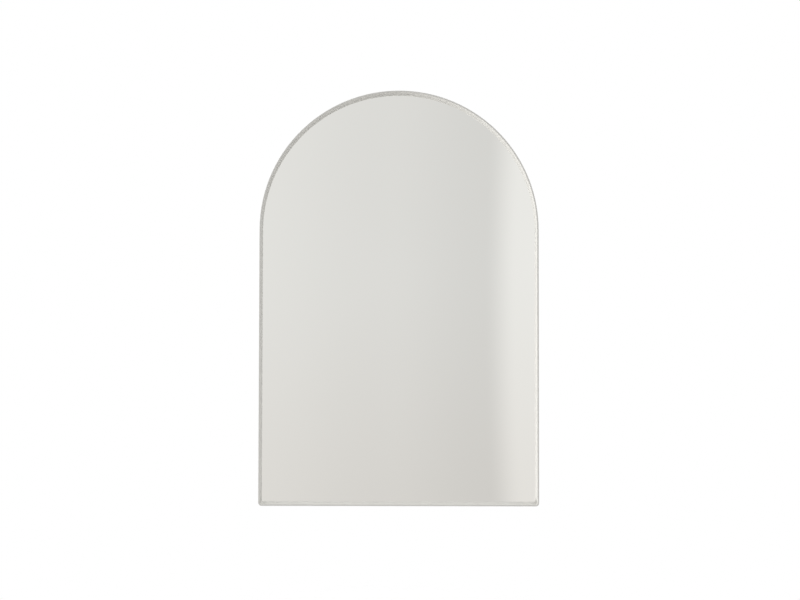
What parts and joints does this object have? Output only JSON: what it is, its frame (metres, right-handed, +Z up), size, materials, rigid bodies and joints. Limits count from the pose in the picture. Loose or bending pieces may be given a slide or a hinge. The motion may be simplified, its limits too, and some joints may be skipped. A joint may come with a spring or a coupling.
{
  "type": "mirror cabinet",
  "caption": "Arched wall cabinet with one mirror door in a thin off-white metal frame, glass shelves, butt hinges, magnetic catches and a hook-on wall rail.",
  "frame": {"origin": "bottom centre of the whole cabinet's box, below the middle of its depth", "axes": "+Z up, the mirror faces -Y, the wall is at the +Y side, +X is to the right seen from the front"},
  "size_m": [0.6, 0.15, 0.8919],
  "materials": {
    "frame_coat": "fine satin powder coat, warm white",
    "mirror_silver": "silvered float glass, polished edge",
    "foam_tape": "closed-cell foam mounting tape",
    "door_lacquer": "fibreboard, satin white lacquer",
    "case_lacquer": "moisture-resistant board, satin white lacquer",
    "back_laminate": "white laminated board",
    "dowel_beech": "fluted beech",
    "rail_aluminium": "mill finish extrusion",
    "screw_zinc": "zinc plated",
    "batten_plywood": "birch plywood",
    "bumper_silicone": "clear silicone",
    "shelf_glass": "toughened glass, ground edge",
    "support_steel": "polished chrome plate",
    "catch_plastic": "moulded, fine texture",
    "magnet_ferrite": "sintered ferrite",
    "hinge_steel": "nickel plated",
    "pin_steel": "bright drawn"
  },
  "bodies": {
    "case": {"side_panel_left": "case_lacquer", "side_panel_right": "case_lacquer", "arch_panel": "case_lacquer", "bottom_panel": "case_lacquer", "fixed_shelf": "case_lacquer", "back_panel": "back_laminate", "case_dowels": "dowel_beech", "case_rail": "rail_aluminium", "wall_rail": "rail_aluminium", "case_rail_screws": "screw_zinc", "wall_batten": "batten_plywood", "wall_batten_screws": "screw_zinc", "door_bumpers": "bumper_silicone", "lower_glass_shelf": "shelf_glass", "lower_shelf_supports": "support_steel", "lower_shelf_pads": "bumper_silicone", "lower_catch_housing": "catch_plastic", "lower_catch_magnet": "magnet_ferrite", "lower_catch_poles": "hinge_steel", "lower_catch_screws": "screw_zinc", "upper_glass_shelf": "shelf_glass", "upper_shelf_supports": "support_steel", "upper_shelf_pads": "bumper_silicone", "upper_catch_housing": "catch_plastic", "upper_catch_magnet": "magnet_ferrite", "upper_catch_poles": "hinge_steel", "upper_catch_screws": "screw_zinc", "lower_hinge_case_leaf": "hinge_steel", "lower_hinge_pin": "pin_steel", "lower_hinge_case_screws": "screw_zinc", "middle_hinge_case_leaf": "hinge_steel", "middle_hinge_pin": "pin_steel", "middle_hinge_case_screws": "screw_zinc", "upper_hinge_case_leaf": "hinge_steel", "upper_hinge_pin": "pin_steel", "upper_hinge_case_screws": "screw_zinc"},
    "door": {"door_frame": "frame_coat", "mirror_glass": "mirror_silver", "mirror_tape": "foam_tape", "door_board": "door_lacquer", "door_frame_screws": "screw_zinc", "lower_strike_plate": "hinge_steel", "upper_strike_plate": "hinge_steel", "lower_strike_screws": "screw_zinc", "upper_strike_screws": "screw_zinc", "lower_hinge_door_leaf": "hinge_steel", "middle_hinge_door_leaf": "hinge_steel", "upper_hinge_door_leaf": "hinge_steel", "lower_hinge_door_screws": "screw_zinc", "middle_hinge_door_screws": "screw_zinc", "upper_hinge_door_screws": "screw_zinc"}
  },
  "joints": [
    {"name": "door_hinge", "type": "hinge", "parent": "case", "child": "door", "pos_m": [-0.2965, -0.0486, 0.31], "axis": [0, 0, -1], "range_deg": [0, 170]}
  ]
}
